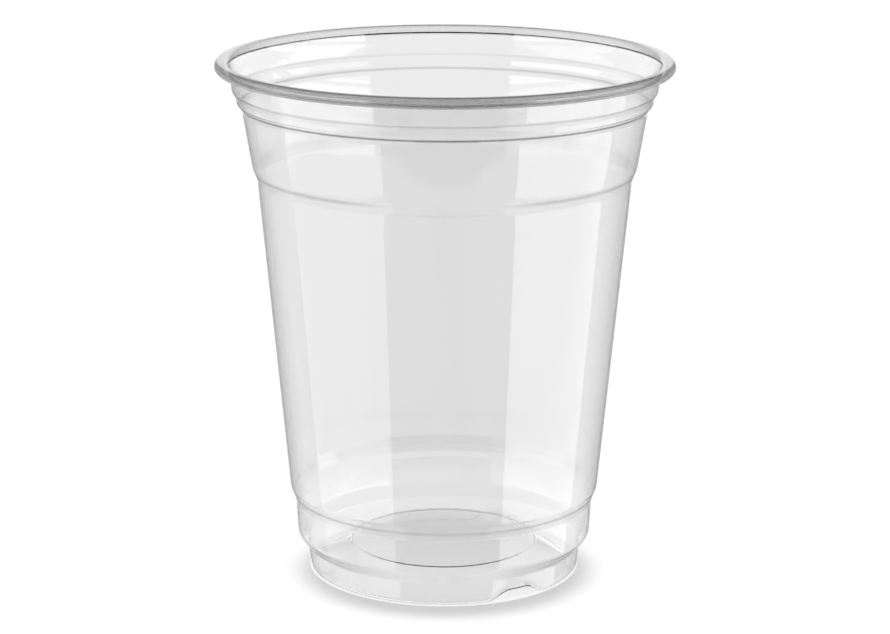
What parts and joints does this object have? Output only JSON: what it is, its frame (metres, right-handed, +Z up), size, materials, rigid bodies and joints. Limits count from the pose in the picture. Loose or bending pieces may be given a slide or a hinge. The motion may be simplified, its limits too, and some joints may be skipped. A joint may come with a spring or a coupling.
{
  "type": "plastic disposable cup",
  "caption": "Clear tapered plastic cup, thermoformed from thin sheet, with a rolled lip, ledges round the wall, and a stepped, notched foot under a raised base.",
  "frame": {"origin": "middle of the foot, on the surface that the cup stands on", "axes": "+Z up along the cup's axis to the mouth, -Y to the front, +X to the right seen from the front"},
  "size_m": [0.098, 0.098, 0.1125],
  "materials": {
    "clear_plastic": "clear, smooth, gloss"
  },
  "bodies": {
    "root": {"cup": "clear_plastic"}
  },
  "joints": []
}
